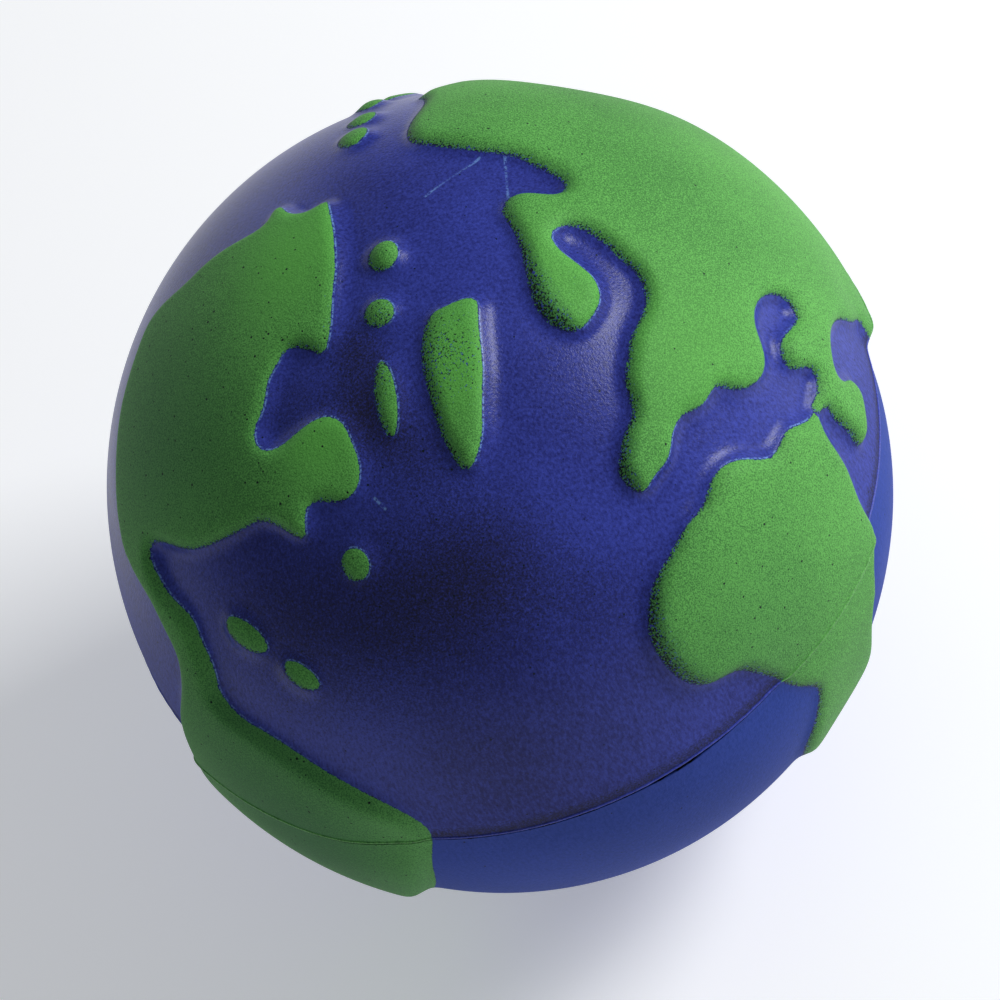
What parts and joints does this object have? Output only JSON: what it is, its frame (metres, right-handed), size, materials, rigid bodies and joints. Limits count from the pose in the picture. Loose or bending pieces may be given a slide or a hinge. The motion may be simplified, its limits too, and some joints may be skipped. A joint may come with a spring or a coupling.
{
  "type": "globe stress ball",
  "caption": "Soft foam stress ball moulded as a globe: blue satin sea, raised green lands and islands, and a fine line of moulding flash round the equator.",
  "frame": {"origin": "middle of the ball, the common centre of its foam, its skin and its lands", "axes": "+Z to the globe's north pole, square to the mould's parting plane at z = 0; -Y to the map longitude 30 degrees west, which faces the viewer; +X to the east of it"},
  "size_m": [0.0722, 0.0713, 0.0728],
  "materials": {
    "blue_skin": "satin blue paint on smooth moulded foam skin",
    "green_land": "matte green paint on raised moulded foam, with pinholes",
    "flash": "satin painted moulding flash",
    "foam": "matte open-cell foam"
  },
  "bodies": {
    "root": {"africa": "green_land", "antarctica": "green_land", "arctic_island_east": "green_land", "arctic_island_west": "green_land", "australia": "green_land", "baffin_island": "green_land", "borneo": "green_land", "cuba": "green_land", "eurasia": "green_land", "foam_core": "foam", "greenland": "green_land", "hispaniola": "green_land", "hokkaido": "green_land", "honshu": "green_land", "kamchatka": "green_land", "madagascar": "green_land", "new_guinea": "green_land", "new_zealand_north": "green_land", "new_zealand_south": "green_land", "newfoundland": "green_land", "north_america": "green_land", "ocean_skin": "blue_skin", "parting_flash": "flash", "philippines": "green_land", "sakhalin": "green_land", "south_america": "green_land", "sumatra": "green_land", "taiwan": "green_land", "tasmania": "green_land"}
  },
  "joints": []
}
